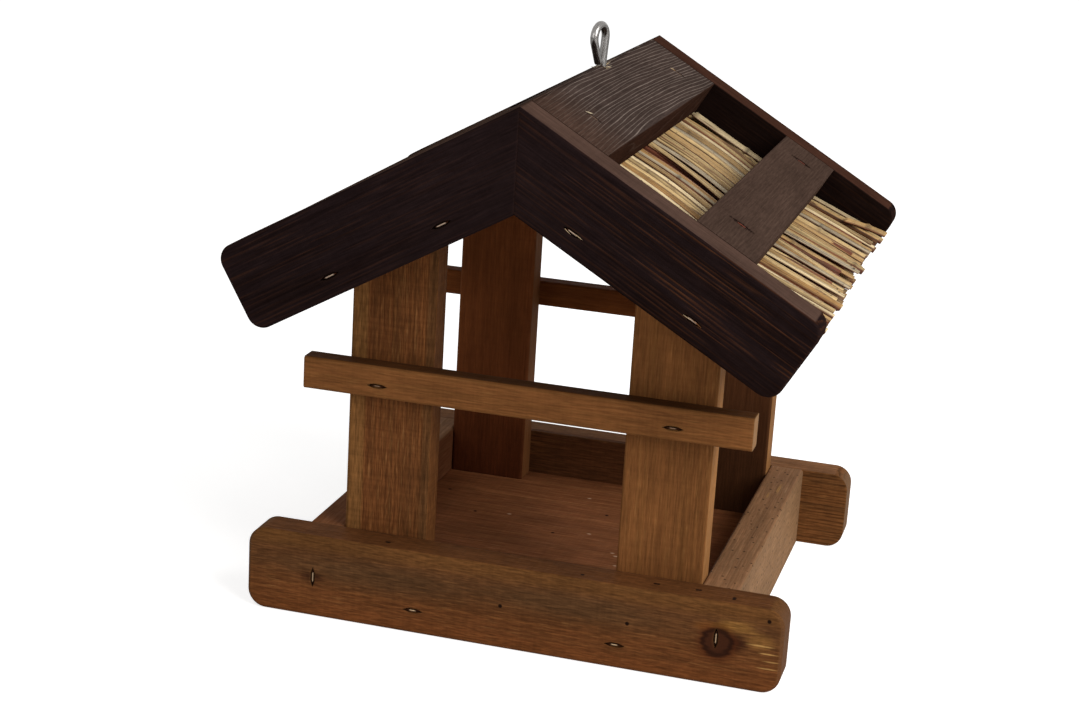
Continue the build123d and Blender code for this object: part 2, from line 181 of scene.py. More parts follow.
def stained_pine(node, finish, along, across, pith, ring, seed, middle=None, wave=3.0, bend=None, knot=None, fades=(),
                 patches=(), holes=(), pits=None):
    """Dresses one lath in wood cut from its own place in a log. All sizes are in mm, from the lath's middle.

    along and across are the lath's directions, and its third is through it; middle, in metres, is for a lath that
    isn't in the middle of its box. pith is where the log's middle lies, across and through; ring is a growth ring's
    width; wave is how far the rings wander. bend bows them: where, over which length and how far. knot is its place
    along and across, and its radius. A fade changes the colour along one direction, a patch over an oval spot, and
    holes are worm holes. pits is the spacing of torn pits.
    """
    material, tree, shader = new_material(f"stained_pine.{node}")
    low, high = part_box(node)
    turn = Matrix((along, across, along.cross(across))).transposed().to_euler()
    place = add(tree, "TexCoord", {}, {})
    lath = add(tree, "Mapping", {"vector_type": "TEXTURE"}, {
        "Vector": place.outputs["Object"], "Location": middle or (low + high) / 2, "Rotation": turn,
        "Scale": (MM, MM, MM)})
    axes = add(tree, "SeparateXYZ", {}, {0: lath})

    grain = {}
    for use, (length, width, detail) in GRAIN.items():
        stretch = add(tree, "VectorMath", {"operation": "MULTIPLY"}, {0: lath, 1: (1 / length, 1 / width, 1 / width)})
        grain[use] = add(tree, "TexNoise", {"noise_dimensions": "4D"}, {
            "Vector": stretch, "W": seed, "Scale": 1.0, "Detail": detail, "Roughness": 0.55})

    # Growth rings: shells round the pith
    log = lath
    if bend:
        place_along, length, bow = bend
        part = add(tree, "Math", {"operation": "MULTIPLY_ADD"}, {
            0: axes.outputs["X"], 1: 1 / length, 2: -place_along / length})
        square = add(tree, "Math", {"operation": "MULTIPLY"}, {0: part, 1: part})
        sway = add(tree, "Math", {"operation": "MULTIPLY"}, {0: square, 1: -bow})
        sideways = add(tree, "CombineXYZ", {}, {"Y": sway})
        log = add(tree, "VectorMath", {"operation": "ADD"}, {0: lath, 1: sideways})
    shells = add(tree, "Mapping", {"vector_type": "POINT"}, {
        "Vector": log, "Location": (0, -pith[0], -pith[1]), "Scale": (RING_TAPER, 1, 1)})
    drift = add(tree, "VectorMath", {"operation": "MULTIPLY_ADD"}, {
        0: grain["wander"].outputs["Color"], 1: (wave, wave, wave), 2: shells})
    radius = add(tree, "VectorMath", {"operation": "LENGTH"}, {0: drift}).outputs["Value"]
    if knot:
        knot_along, knot_across, knot_radius = knot
        off_knot = add(tree, "VectorMath", {"operation": "SUBTRACT"}, {0: lath, 1: (knot_along, knot_across, 0)})
        flat = add(tree, "VectorMath", {"operation": "MULTIPLY"}, {
            0: off_knot, 1: (KNOT_LONGER / knot_radius, 1 / knot_radius, 0)})
        ragged = add(tree, "VectorMath", {"operation": "MULTIPLY_ADD"}, {
            0: grain["break"].outputs["Color"], 1: (KNOT_RAGGED, KNOT_RAGGED, 0), 2: flat})
        centred = add(tree, "VectorMath", {"operation": "SUBTRACT"}, {
            0: ragged, 1: (KNOT_RAGGED / 2, KNOT_RAGGED / 2, 0)})
        from_knot = add(tree, "VectorMath", {"operation": "LENGTH"}, {0: centred}).outputs["Value"]
        bulge = add(tree, "MapRange", SMOOTH, {
            "Value": from_knot, "From Min": 0.0, "From Max": 2.6, "To Min": 0.7 * knot_radius, "To Max": 0.0})
        radius = add(tree, "Math", {"operation": "ADD"}, {0: radius, 1: bulge})
    rings = add(tree, "Math", {"operation": "DIVIDE"}, {0: radius, 1: ring})
    uneven = add(tree, "TexNoise", {"noise_dimensions": "1D"}, {"W": rings, "Scale": 0.31, "Detail": 1.0})
    shifted = add(tree, "Math", {"operation": "MULTIPLY_ADD"}, {0: uneven, 1: finish["spread"], 2: rings})
    year = add(tree, "Math", {"operation": "FRACT"}, {0: shifted})
    hardens = add(tree, "MapRange", SMOOTH, {"Value": year, "From Min": finish["line_start"], "From Max": 0.9})
    stops = add(tree, "MapRange", SMOOTH, {
        "Value": year, "From Min": 0.92, "From Max": 1.0, "To Min": 1.0, "To Max": 0.0})
    late = add(tree, "Math", {"operation": "MULTIPLY"}, {0: hardens, 1: stops})
    dashed = add(tree, "MapRange", SMOOTH, {
        "Value": grain["break"], "From Min": 0.42, "From Max": 0.62,
        "To Min": finish["lines"] * (1 - finish["broken"]), "To Max": finish["lines"]})
    lines = add(tree, "Math", {"operation": "MULTIPLY"}, {0: late, 1: dashed})
    colour = add(tree, "MixRGB", {}, {
        "Fac": lines, "Color1": linear(finish["early"]), "Color2": linear(finish["late"])})

    # The stain: broad stripes, streaks where it soaked in, pale flecks where it lifted
    for use, tone, share, least, most in (
            ("stripe", "stripe", "stripes", 0.44, 0.66), ("streak", "streak", "streaks", 0.54, 0.74),
            ("dash", "fleck", "flecks", 0.56, 0.74)):
        spread = add(tree, "MapRange", SMOOTH, {
            "Value": grain[use], "From Min": least, "From Max": most, "To Max": finish[share]})
        colour = add(tree, "MixRGB", {}, {"Fac": spread, "Color1": colour, "Color2": linear(finish[tone])})
    for axis, start, stop, tone, share in fades:
        faded = add(tree, "MapRange", SMOOTH, {
            "Value": axes.outputs[axis], "From Min": start, "From Max": stop, "To Max": share})
        colour = add(tree, "MixRGB", {}, {"Fac": faded, "Color1": colour, "Color2": linear(tone)})
    for spot, reach, tone, share in patches:
        off_spot = add(tree, "VectorMath", {"operation": "SUBTRACT"}, {0: lath, 1: spot})
        oval = add(tree, "VectorMath", {"operation": "DIVIDE"}, {0: off_spot, 1: reach})
        away = add(tree, "VectorMath", {"operation": "LENGTH"}, {0: oval}).outputs["Value"]
        frayed = add(tree, "Math", {"operation": "MULTIPLY_ADD"}, {0: grain["dash"], 1: 1.2, 2: away})
        patch = add(tree, "MapRange", SMOOTH, {
            "Value": frayed, "From Min": 0.85, "From Max": 1.6, "To Min": share, "To Max": 0.0})
        colour = add(tree, "MixRGB", {}, {"Fac": patch, "Color1": colour, "Color2": linear(tone)})
    for use, depth in (("fibre", finish["fibre"]), ("dapple", finish["dapple"]), ("blotch", BLOTCHES),
                       ("saw", finish["saw"])):
        shade = add(tree, "MapRange", {}, {
            "Value": grain[use], "From Min": 0.32, "From Max": 0.68, "To Min": 1 - depth, "To Max": 1 + depth})
        colour = add(tree, "MixRGB", {"blend_type": "MULTIPLY"}, {"Fac": 1.0, "Color1": colour, "Color2": shade})

    if knot:
        for start, stop, share, tone in ((1.0, 1.8, 0.7, KNOT_HALO), (0.85, 1.05, 0.9, KNOT_HEART)):
            within = add(tree, "MapRange", SMOOTH, {
                "Value": from_knot, "From Min": start, "From Max": stop, "To Min": share, "To Max": 0.0})
            colour = add(tree, "MixRGB", {}, {"Fac": within, "Color1": colour, "Color2": linear(tone)})
        bark = add(tree, "MapRange", SMOOTH, {"Value": from_knot, "From Min": 0.68, "From Max": 0.98})
        bark_end = add(tree, "MapRange", SMOOTH, {
            "Value": from_knot, "From Min": 1.0, "From Max": 1.3, "To Min": 0.8, "To Max": 0.0})
        bark_ring = add(tree, "Math", {"operation": "MULTIPLY"}, {0: bark, 1: bark_end})
        colour = add(tree, "MixRGB", {}, {"Fac": bark_ring, "Color1": colour, "Color2": linear(KNOT_BARK)})

    # Cut ends, rubbed edges, and painted shade in the dents of the staples, darker where the lath's own faces hide the
    # wood
    facing = add(tree, "VectorMath", {"operation": "DOT_PRODUCT"}, {0: place.outputs["Normal"], 1: along})
    squarely = add(tree, "Math", {"operation": "ABSOLUTE"}, {0: facing.outputs["Value"]})
    cut_end = add(tree, "MapRange", SMOOTH, {"Value": squarely, "From Min": 0.35, "From Max": 0.95, "To Max": 0.75})
    colour = add(tree, "MixRGB", {}, {"Fac": cut_end, "Color1": colour, "Color2": linear(finish["end"])})
    rounded = add(tree, "Bevel", {"samples": 4}, {"Radius": EDGE_ROUNDING * MM})
    flat_face = add(tree, "NewGeometry", {}, {}).outputs["Normal"]
    turned = add(tree, "VectorMath", {"operation": "DOT_PRODUCT"}, {0: rounded, 1: flat_face})
    edge = add(tree, "MapRange", {}, {
        "Value": turned.outputs["Value"], "From Min": 1.0, "From Max": 0.75, "To Min": 0.0, "To Max": finish["rubbed_and_glint"]})
    colour = add(tree, "MixRGB", {}, {"Fac": edge, "Color1": colour, "Color2": linear(finish["worn"])})
    hollow = add(tree, "AmbientOcclusion", {"samples": 4, "only_local": True}, {"Distance": DENT_SHADE_REACH * MM})
    painted_dent_shade = add(tree, "MapRange", SMOOTH, {
        "Value": hollow.outputs["AO"], "From Min": 0.85, "From Max": 0.45, "To Min": 0.0, "To Max": 0.75})
    colour = add(tree, "MixRGB", {}, {"Fac": painted_dent_shade, "Color1": colour, "Color2": linear(finish["deep"])})

    if pits:
        cells = add(tree, "TexVoronoi", {"voronoi_dimensions": "3D"}, {"Vector": lath, "Scale": 1 / pits})
        size = add(tree, "Math", {"operation": "MULTIPLY"}, {0: cells.outputs["Distance"], 1: pits})
        pit = add(tree, "MapRange", SMOOTH, {
            "Value": size, "From Min": 0.4, "From Max": 0.95, "To Min": 0.9, "To Max": 0.0})
        colour = add(tree, "MixRGB", {}, {"Fac": pit, "Color1": colour, "Color2": linear(finish["deep"])})
    for spot in holes:
        away = add(tree, "VectorMath", {"operation": "DISTANCE"}, {0: lath, 1: spot}).outputs["Value"]
        hole = add(tree, "MapRange", SMOOTH, {
            "Value": away, "From Min": 0.75, "From Max": 1.35, "To Min": 0.95, "To Max": 0.0})
        colour = add(tree, "MixRGB", {}, {"Fac": hole, "Color1": colour, "Color2": linear(finish["deep"])})

    rough = add(tree, "MapRange", {}, {
        "Value": grain["fibre"], "From Min": 0.3, "From Max": 0.7,
        "To Min": finish["roughness"] + 0.1, "To Max": finish["roughness"] - 0.1})
    relief = add(tree, "Math", {"operation": "MULTIPLY_ADD"}, {0: lines, 1: 0.7, 2: grain["fibre"]})
    bump = add(tree, "Bump", {}, {"Strength": 0.45, "Distance": RELIEF * MM, "Height": relief, "Normal": rounded})
    feed(tree, shader, {
        "Base Color": colour, "Specular IOR Level": finish["shine"], "Roughness": rough, "Normal": bump})
    dress(node, material)


def dress(node, material):
    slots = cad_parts[node].data.materials
    slots.clear()
    slots.append(material)


# Tray. The front rail is greyed along its upper half, has worm holes, and at its right end a knot and scratches.
YELLOWED, RAW, SCORCHED = "#80592c", "#a9804a", "#2c160c"
OLIVE, SMEARED = "#4a3622", "#2a150b"
UPPER_EDGE = (22.7, 22.95)  # where a lath 46 wide turns into its narrow face
INNER_FACE, OUTER_FACE = (9.4, 9.9), (-9.4, -9.9)  # where one 20 thick reaches its wide faces
stained_pine(
    "front_rail",
    BROWN_STAIN | dict(end="#573b27", flecks=0.4, fibre=0.14, dapple=0.3, lines=0.3, stripes=0.3, streaks=0.25),
    X, Z, pith=(-48, 14), ring=2.6, seed=1, knot=(112.0, 1.0, 7.0),
    fades=(("Y", -6, 8, "#4c341f", 0.5), ("Y", 12, 19, "#66421f", 0.45), ("Y", -9, -21, "#683a1c", 0.5),
           ("Y", *UPPER_EDGE, "#5a351d", 0.6)),
    patches=(
        ((-75, 5, 10), (75, 12, 4), OLIVE, 0.4), ((35, 8, 10), (65, 10, 4), "#4c3722", 0.4),
        ((-108.5, -0.5, 10), (10, 4.5, 6), SMEARED, 0.8),
        ((122, 11, 10), (14, 5, 4), YELLOWED, 0.8), ((134, 5, 10), (11, 6, 4), YELLOWED, 0.55),
        ((106, 9, 10), (9, 4, 4), "#7a4a22", 0.6), ((122, 2, 10), (9, 6, 4), SCORCHED, 0.9),
        ((114, 9.5, 10), (8, 4, 4), "#6e4a20", 0.7),
        ((135, 3, 10), (9, 0.7, 2), RAW, 0.8), ((139, -1, 10), (7, 0.6, 2), RAW, 0.8),
        ((141, -5, 10), (6, 0.6, 2), RAW, 0.7), ((139, -9, 10), (8, 0.6, 2), RAW, 0.7),
    ),
    holes=((-3.4, 1, 10), (64.9, 3, 10), (138, 16.8, 10), (-70, 23, 1.7), (-69, 23, 1.7), (38, 23, 3),
           (76, 23, -0.7), (77.5, 23, -0.7), (98, 23, -1.4), (99.4, 23, -1.6), (118, 23, 1.3), (118, 23, 3.0)),
)
stained_pine(
    "back_rail", BROWN_STAIN | dict(early="#704726", late="#3a200d", lines=0.8, broken=0.4, spread=1.0, line_start=0.5),
    X, Z, pith=(-90, 4), ring=2.4, seed=2,
    fades=(("Y", *UPPER_EDGE, "#80583a", 0.8),),
    # painted shade over the middle of its face, inside the house
    patches=(((-8, 4, 10), (130, 60, 8), "#452615", 0.85),),
    holes=((112, 11, 10), (113.5, 10.6, 10)),
)
stained_pine(
    "left_side_rail", SAWN_STAIN, Y, Z, pith=(4, 34), ring=2.3, seed=3, pits=11,
    # painted light: its front end is painted paler, to make up for the shade that falls on it
    fades=(("X", 30, -60, "#744628", 0.9), ("Z", *INNER_FACE, "#5b321c", 0.85), ("Z", *OUTER_FACE, "#6f5238", 0.8)),
)
stained_pine(
    "right_side_rail", SAWN_STAIN, Y, Z, pith=(-8, -40), ring=2.3, seed=4, pits=4.5,
    fades=(("Z", *INNER_FACE, "#7d5f43", 0.8), ("Z", *OUTER_FACE, "#5b321c", 0.7)),
    patches=(((62, 23, 2), (12, 2, 1.2), RAW, 0.6), ((48, 23, -2), (7, 1.6, 1.0), RAW, 0.5)),
)
CHAFF, CHAFF_SIZE = "#c4a283", (1.9, 1.1, 2)  # pale bits that lie on the floor
stained_pine(
    "floor_board", FLOOR_STAIN, X, Y, pith=(25, -90), ring=3.0, seed=5, wave=9,
    holes=((-87.6, 49.8, 6), (-29.8, -37, 6), (-62, 20, 6), (12, 46, 6), (44, -20, 6), (-10, 5, 6), (70, 30, 6)),
    patches=[((x, y, 6), CHAFF_SIZE, CHAFF, 0.9) for x, y in (
        (30, -12), (33, -16), (36, -30), (10, 12), (-42, 24), (-5, 70), (-38, -62), (22, 62))],
)

# Posts and perches. The right posts' outer narrow faces, towards the key lamp, are painted pale: painted light.
PAINTED_LIGHT_FACE = "#8e633a"
PERCH_TOP = (8.4, 8.7)  # where the front perch turns into its upper face
stained_pine(
    "front_left_post", BROWN_STAIN | dict(saw=0.1, dapple=0.27, stripes=0.25, streaks=0.3), Z, X, pith=(-90, 6),
    ring=1.8, seed=6, wave=1.5,
    fades=(("Y", -13, -15, "#7a552e", 0.55), ("Y", 17.5, 19.5, "#4f361f", 0.6), ("Y", *UPPER_EDGE, "#6a4122", 0.8)),
    holes=((-20, 8, 8.5), (-30, 5, 8.5)),
)
stained_pine(
    "front_right_post", WARM_STAIN, Z, X, pith=(80, 20), ring=1.9, seed=7, wave=1.5,
    fades=(("Y", *UPPER_EDGE, PAINTED_LIGHT_FACE, 0.85),),
)
stained_pine(
    "back_left_post", RED_STAIN | dict(early="#764222"), Z, X, pith=(-60, 30), ring=2.4, seed=8,
    fades=(("X", 20, -90, "#47200f", 0.9), ("X", 20, 60, "#7a4625", 0.5), ("Y", *UPPER_EDGE, "#6b4426", 0.85)),
)
stained_pine(
    "back_right_post", RED_STAIN | dict(early="#5c3821", late="#6b4326"), Z, X, pith=(50, -15), ring=2.1, seed=9,
    fades=(("X", 40, -60, "#2e190c", 0.8), ("Y", *UPPER_EDGE, PAINTED_LIGHT_FACE, 0.8)),
)
stained_pine(
    "front_perch", WARM_STAIN | dict(end="#8a6a4a"), X, Z, pith=(-42, 6), ring=2.6, seed=10,
    # its upper face is painted darker: painted shade of the roof over it
    fades=(("Y", *PERCH_TOP, "#3c2413", 0.8),),
)
stained_pine("back_perch", RED_STAIN | dict(early="#74411f"), X, Z, pith=(-38, 6), ring=2.2, seed=11)

# Roof. The narrow faces of the wide laths are painted browner than their wide ones.
MID_SLAT_STAIN = SLAT_STAIN | dict(
    early="#46362e", late="#685649", stripe="#3e2f28", streak="#352720", fleck="#56443b", lines=0.15, flecks=0.2,
    fibre=0.16, dapple=0.14,
)
SLOT_SHADE, SLOT_SHADE_REACH = "#100705", (3.4, 10, 60)  # painted shade of a dark slot round each of the mid slats' staples
for seed, node in enumerate(("left_upper", "left_lower", "right_upper", "right_lower"), start=12):
    slope = down_slope(LEFT if "left" in node else RIGHT)
    stained_pine(f"{node}_roof_board", RED_STAIN, Y, slope, pith=(12, 60), ring=2.8, seed=seed)
for node, side, end, pith, seed in (
        ("front_left", LEFT, FRONT, (-90, 10), 16), ("front_right", RIGHT, FRONT, (-80, 14), 17),
        ("back_left", LEFT, BACK, (-70, -12), 18), ("back_right", RIGHT, BACK, (-95, -10), 19)):
    finish = DARK_STAIN if side == RIGHT else DARK_STAIN | dict(lines=0.1)
    edge = "#533f36" if end == FRONT else "#452c22"
    # the face towards the reed bay lies in a deep recess and is painted near black: painted shade
    bay_face = INNER_FACE if side == end else OUTER_FACE
    stained_pine(
        f"{node}_gable_board", finish, down_slope(side), out_of_roof(side), pith, ring=2.2, seed=seed,
        middle=on_slope(side, EAVE / 2, GABLE_MIDDLE, end * (BAY_HALF + GABLE_THICK / 2)),
        fades=(("X", 50, -70, DARK_STAIN["early"], 0.75), ("Z", *bay_face, "#170e0b", 0.85),
               ("Y", *UPPER_EDGE, edge, 0.9)),
    )
for node, side, seed in (("left", LEFT, 20), ("right", RIGHT, 21)):
    slope = down_slope(side)
    stained_pine(
        f"{node}_ridge_slat", SLAT_STAIN, Y, slope, pith=(-90, 16), ring=2.1, seed=seed, wave=7,
        middle=on_slope(side, RIDGE_SLAT_END / 2, SLAT_UNDER / 2, 0), bend=(-20, 110, 3),
        fades=(("X", -60, -125, "#46332a", 0.8), ("Y", *UPPER_EDGE, "#342017", 0.9)),
    )
    stained_pine(
        f"{node}_mid_slat", MID_SLAT_STAIN, Y, slope, pith=(50, 20), ring=1.8, seed=seed + 2,
        patches=[((y, 0, 0), SLOT_SHADE_REACH, SLOT_SHADE, 0.95) for _, y in MID_STAPLES],
    )

# Galvanised staple wire, drawn, its shoulders rusted and smeared with stain. Its colour is each staple's tone:
# stain-dark, with a painted glint along the crown's outward side. Its dull spots are drawn larger than real ones, so
# that they show.
TARNISH = 2.5
staple_wire, tree, shader = new_material("galvanised_wire")
tone_along = add(tree, "VertexColor", {"layer_name": "tone"}, {})
tarnish = add(tree, "TexNoise", {}, {"Scale": 1 / (TARNISH * MM), "Detail": 2.0})
dull = add(tree, "MapRange", {}, {"Value": tarnish, "To Min": 0.3, "To Max": 0.65})
feed(tree, shader, {"Base Color": tone_along, "Metallic": 1.0, "Roughness": dull})

# The staples nobody sees, in the roof boards over the posts, of the same wire with no smear
bare_wire, tree, shader = new_material("galvanised_wire.bare")
spangle = add(tree, "TexNoise", {}, {"Scale": 1 / (TARNISH * MM), "Detail": 2.0})
grey = add(tree, "MixRGB", {}, {"Fac": spangle, "Color1": linear("#8d877e"), "Color2": linear("#a8a39a")})
dull = add(tree, "MapRange", {}, {"Value": spangle, "To Min": 0.3, "To Max": 0.6})
feed(tree, shader, {"Base Color": grey, "Metallic": 1.0, "Roughness": dull})
dress("post_head_staples", bare_wire)

# Zinc-plated steel, drawn and bent: a cold grey mirror with brown smears and painted dark reflections, and dull spots
EYE_SMEAR_AND_REFLECTION = 4.0
eye_steel, tree, shader = new_material("zinc_plated_steel")
spots = add(tree, "TexNoise", {}, {"Scale": 1 / (EYE_SMEAR_AND_REFLECTION * MM), "Detail": 4.0})
smear_and_reflection = add(tree, "MapRange", SMOOTH, {"Value": spots, "From Min": 0.36, "From Max": 0.62})
zinc = add(tree, "MixRGB", {}, {"Fac": smear_and_reflection, "Color1": linear("#2b211a"), "Color2": linear("#b0adaa")})
sheen = add(tree, "MapRange", {}, {"Value": spots, "To Min": 0.1, "To Max": 0.32})
feed(tree, shader, {"Base Color": zinc, "Metallic": 1.0, "Roughness": sheen})

# Dried reed, cut and pressed: pale straw with fine long furrows, brown stains and mould specks that follow each stalk.
# Real furrows are about 0.1 wide and specks a little more: both are drawn as coarse as they need to show.
FURROW, FURROW_DEEP = (90, 0.75), 0.35  # length along the stalk and width round it, and depth
STAIN = (26, 3.0)
SPECK = (2.2, 1.1)
STALK_APART = 5.3  # how different the marks of two stalks are
ROTTEN, MOULD = "#54361f", "#2e1b10"
reed, tree, shader = new_material("dried_reed")
stalk_tone = add(tree, "VertexColor", {"layer_name": "tone"}, {})
lay = add(tree, "Attribute", {"attribute_name": "lay"}, {})
marks = {}
for use, (length, width), detail in (("furrow", FURROW, 2), ("stain", STAIN, 2), ("speck", SPECK, 1)):
    spread = add(tree, "VectorMath", {"operation": "MULTIPLY"}, {
        0: lay.outputs["Vector"], 1: (1 / length, 1 / width, STALK_APART)})
    marks[use] = add(tree, "TexNoise", {"noise_dimensions": "3D"}, {"Vector": spread, "Scale": 1.0, "Detail": detail})
groove = add(tree, "MapRange", {}, {
    "Value": marks["furrow"], "From Min": 0.36, "From Max": 0.56, "To Min": 0.45, "To Max": 1.1})
colour = add(tree, "MixRGB", {"blend_type": "MULTIPLY"}, {"Fac": 1.0, "Color1": stalk_tone, "Color2": groove})
rotten = add(tree, "MapRange", SMOOTH, {"Value": marks["stain"], "From Min": 0.55, "From Max": 0.72, "To Max": 0.85})
colour = add(tree, "MixRGB", {}, {"Fac": rotten, "Color1": colour, "Color2": linear(ROTTEN)})
mould = add(tree, "MapRange", SMOOTH, {"Value": marks["speck"], "From Min": 0.66, "From Max": 0.76, "To Max": 0.8})
colour = add(tree, "MixRGB", {}, {"Fac": mould, "Color1": colour, "Color2": linear(MOULD)})
waxy = add(tree, "MapRange", {}, {"Value": marks["furrow"], "To Min": 0.75, "To Max": 0.45})
ribs = add(tree, "Bump", {}, {"Strength": 0.6, "Distance": FURROW_DEEP * MM, "Height": marks["furrow"]})
feed(tree, shader, {"Base Color": colour, "Specular IOR Level": 0.25, "Roughness": waxy, "Normal": ribs})

# Raw pine, torn by a staple or the eye's shank: pale dry fibre, darker at its root and tip. Its strands are drawn
# coarser than real ones, so that they show.
STRAND = 0.8
torn_pine, tree, shader = new_material("torn_pine")
fibre_tone = add(tree, "VertexColor", {"layer_name": "tone"}, {})
strands = add(tree, "TexNoise", {}, {"Scale": 1 / (STRAND * MM), "Detail": 2.0})
split = add(tree, "MapRange", {}, {"Value": strands, "From Min": 0.3, "From Max": 0.7, "To Min": 0.75, "To Max": 1.2})
colour = add(tree, "MixRGB", {"blend_type": "MULTIPLY"}, {"Fac": 1.0, "Color1": fibre_tone, "Color2": split})
feed(tree, shader, {"Base Color": colour, "Roughness": 0.8, "Specular IOR Level": BROWN_STAIN["shine"]})


# Meshes

def new_skin():
    return {"points": [], "faces": [], "tones": [], "lay": []}


def loft(skin, rings, tones, lay=None):
    """Adds a closed skin through rings of points, with a colour for each point and its lay for the reed's marks."""
    first, sides = len(skin["points"]), len(rings[0])
    for ring, tone in zip(rings, tones):
        skin["points"] += ring
        skin["tones"] += tone
    skin["lay"] += lay or [(0, 0, 0)] * (len(rings) * sides)
    for r in range(first, first + (len(rings) - 1) * sides, sides):
        for s in range(sides):
            t = (s + 1) % sides
            skin["faces"].append((r + s, r + t, r + t + sides, r + s + sides))
    last = len(skin["points"]) - sides
    skin["faces"].append(tuple(range(first, first + sides))[::-1])
    skin["faces"].append(tuple(range(last, last + sides)))


def new_piece(name, skin, material, body, slot, *nodes):
    mesh = bpy.data.meshes.new(name)
    mesh.from_pydata(skin["points"], [], skin["faces"])
    tones = mesh.attributes.new("tone", "FLOAT_COLOR", "POINT")
    tones.data.foreach_set("color", [channel for tone in skin["tones"] for channel in tone])
    lay = mesh.attributes.new("lay", "FLOAT_VECTOR", "POINT")
    lay.data.foreach_set("vector", [part for place in skin["lay"] for part in place])
    shell = bmesh.new()
    shell.from_mesh(mesh)
    bmesh.ops.recalc_face_normals(shell, faces=shell.faces)
    shell.to_mesh(mesh)
    shell.free()
    mesh.polygons.foreach_set("use_smooth", [True] * len(mesh.polygons))
    mesh.materials.append(material)
    piece = bpy.data.objects.new(name, mesh)
    bpy.context.scene.collection.objects.link(piece)
    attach(piece, body)
    if nodes:
        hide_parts(*nodes)


def shaded(tone, share):
    return [channel * share for channel in tone[:3]] + [1.0]


# Reed roof

STRAW = [linear(c) for c in ("#c0a270", "#b08d5b", "#d0b98f", "#b9a788", "#9a7444")]
STRAW_SHARE = (37, 28, 24, 8, 3)
UNDER_STRAW = [linear(c) for c in ("#6a3519", "#532611", "#7d4d2b")]  # of the stalks underneath, darker and redder than the top layer's
EAVE_STRAW = [linear(c) for c in ("#8f7048", "#79573a", "#a5865b")]  # of the lowest ones at the eave, a darker straw
BED_TONE = linear("#4a2311")
GAP_TONE = linear("#5c2a13")  # of the dust and shade between two stalks
BAY_CROWN, EAVE_CROWN = 1.2, 6.5  # how far the stalks stand up between the slats and at the eave
RISE_AT_SLAT = 1.6  # how far the stalks are squeezed up against the mid slat's lower edge
RISE_LENGTH = 4.0
STALK_DEEP = 3.8
JOINT_HALF, SCAR = 2.0, 11.0
JOINT_WIDER, JOINT_TALLER = 0.2, 0.35
JOINT_DARK, SCAR_DARK = 0.55, 0.35
JOINT_PAST_END = 50.0  # joints also fall past a stalk's end, so that some stalks have none
RIM, HOLLOW, HOLLOW_DEEP = 0.7, 0.62, 4.0  # of a stalk's cut end, the first two as shares of the stalk
RIM_SHADE, HOLLOW_SHADE = 0.8, 0.22
STALK_SHADES, SMEAR_SHADES = (0.83, 1.22), (0.86, 1.1)  # from stalk to stalk, and along one
RAGGED_EAVE = (-3.0, 1.5)  # how far past its layer's end a stalk is cut
DUST_AND_SHADE_EDGE = 0.79  # where a stalk's flanks begin to take dust and painted shade, as a share of its half width
BEND_LENGTH = 45.0
SIDE_ROOM = 2.5  # between a gable board and the nearest stalk's middle
SIDE_GAP, BED_GAP = 0.3, 0.4  # between a gable board and the nearest stalk as it is laid, and the bed
BED_RUNS = (THATCH_TOP, RIDGE_SLAT_END, 60, 72, 85, MID_SLAT_START, MID_SLAT_END, 145, 157, 172)
BED_DROP, BED_RISE = 3.6, 0.7  # under the slats, and the share of the stalks' lift that it follows


def reed_lift(run):
    """How far the pressed reed stands up between the slats."""
    if RIDGE_SLAT_END < run < MID_SLAT_START:
        return BAY_CROWN * sin(pi * (run - RIDGE_SLAT_END) / (MID_SLAT_START - RIDGE_SLAT_END))
    if run > MID_SLAT_END - RISE_LENGTH:
        rise = min(1, 1 - (MID_SLAT_END - run) / RISE_LENGTH)
        return RISE_AT_SLAT * rise + (EAVE_CROWN - RISE_AT_SLAT) * max(0, run - MID_SLAT_END) / (EAVE - MID_SLAT_END)
    return 0.0


def stalk_section(kind, draw, sides):
    """The outline of one stalk, across and above its middle in halves of its width and height."""
    if kind == "split":
        top = [1 - 2 * s / (sides // 2) for s in range(sides // 2 + 1)]
        bow = draw.uniform(0.7, 1.1)
        return [(u, 1 - bow * u * u) for u in top] + [(u * 0.9, 0.1 - bow * u * u) for u in reversed(top[1:-1])]
    dents = [(draw.uniform(-0.09, 0.09), draw.uniform(0, 2 * pi)) for _ in range(3)]
    outline = []
    for s in range(sides):
        angle = 2 * pi * s / sides
        crease = 1 + sum(depth * sin((n + 2) * angle + turn) for n, (depth, turn) in enumerate(dents))
        outline.append((cos(angle) * crease, sin(angle) * crease))
    return outline


def with_dust_and_shade(tone, off_middle, above):
    """A stalk's colour at one place of its outline: dust and shade take over low on its flanks."""
    clean_and_lit = min(1, max(0, (above + 0.5) / 0.5)) * (1 - max(0, off_middle - DUST_AND_SHADE_EDGE) * 5)
    return [dust + (own - dust) * max(0, clean_and_lit) for own, dust in zip(tone, GAP_TONE)]


def with_joint(route, joint):
    """The route with points added where its joint swells and where the old leaf's scar below it ends."""
    added = []
    for run in (joint - JOINT_HALF, joint, joint + JOINT_HALF, joint + SCAR):
        for a, b in zip(route, route[1:]):
            if a[0] < run < b[0]:
                t = (run - a[0]) / (b[0] - a[0])
                added.append(tuple(p + (q - p) * t for p, q in zip(a, b)))
    return sorted(list(route) + added)


